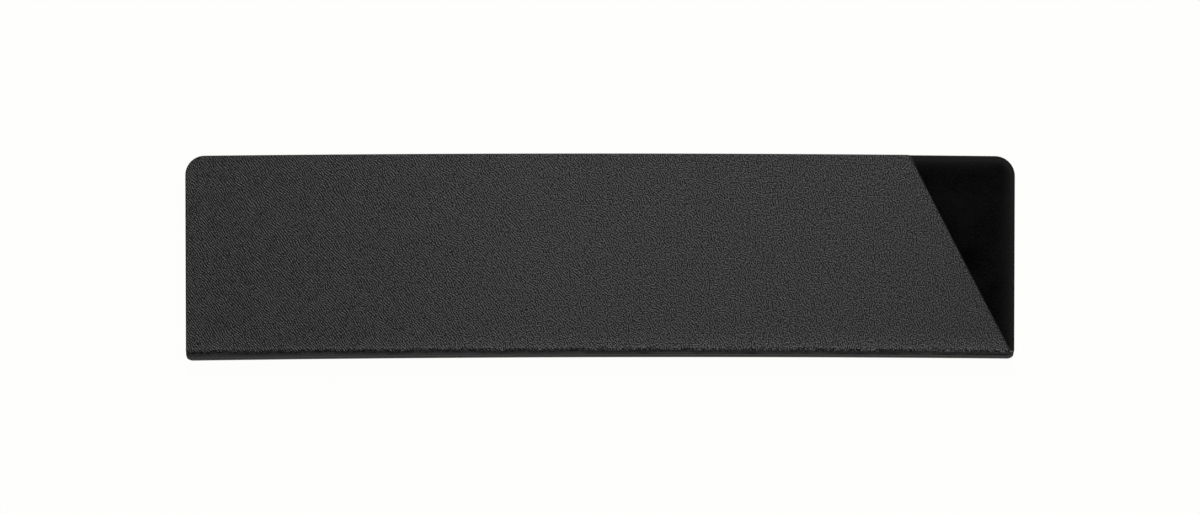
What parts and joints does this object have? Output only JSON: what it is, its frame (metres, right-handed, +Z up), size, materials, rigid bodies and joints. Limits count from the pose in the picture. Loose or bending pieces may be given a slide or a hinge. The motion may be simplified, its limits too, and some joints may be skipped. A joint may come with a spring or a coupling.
{
  "type": "knife blade guard",
  "caption": "Folding kitchen knife blade guard: creased, grained plastic cover with a slanted heel cut, lined with black flock over hidden magnet sheet; opens like a book.",
  "frame": {"origin": "under the middle of the shut guard, on the outer face of the back cover that it lies on", "axes": "+X along the blade towards the heel end with the slanted cut, +Y from the fold to the open edge, +Z up from the back cover to the front cover"},
  "size_m": [0.216, 0.053, 0.0063],
  "materials": {
    "cover_plastic": "polypropylene sheet, fine leather-like grain, satin black",
    "adhesive_film": "acrylic transfer film",
    "magnet_rubber": "calendered ferrite-filled rubber, matt brown-black",
    "flock_pile": "short nylon flock pile, deep black"
  },
  "bodies": {
    "back": {"back_cover": "cover_plastic", "rear_crease_web": "cover_plastic", "back_adhesive_film": "adhesive_film", "back_magnet_sheet": "magnet_rubber", "back_flock_lining": "flock_pile"},
    "spine": {"spine_strip": "cover_plastic"},
    "front": {"front_cover": "cover_plastic", "front_crease_web": "cover_plastic", "front_adhesive_film": "adhesive_film", "front_magnet_sheet": "magnet_rubber", "front_flock_lining": "flock_pile"}
  },
  "joints": [
    {"name": "rear_crease", "type": "hinge", "parent": "back", "child": "spine", "pos_m": [0, -0.02524, 0.00126], "axis": [1, 0, 0], "range_deg": [0, 90], "stiffness_Nm_per_rad": 0.004, "deforming": ["rear_crease_web"]},
    {"name": "front_crease", "type": "hinge", "parent": "spine", "child": "front", "pos_m": [0, -0.02524, 0.00504], "axis": [1, 0, 0], "range_deg": [0, 90], "stiffness_Nm_per_rad": 0.004, "deforming": ["front_crease_web"]}
  ]
}
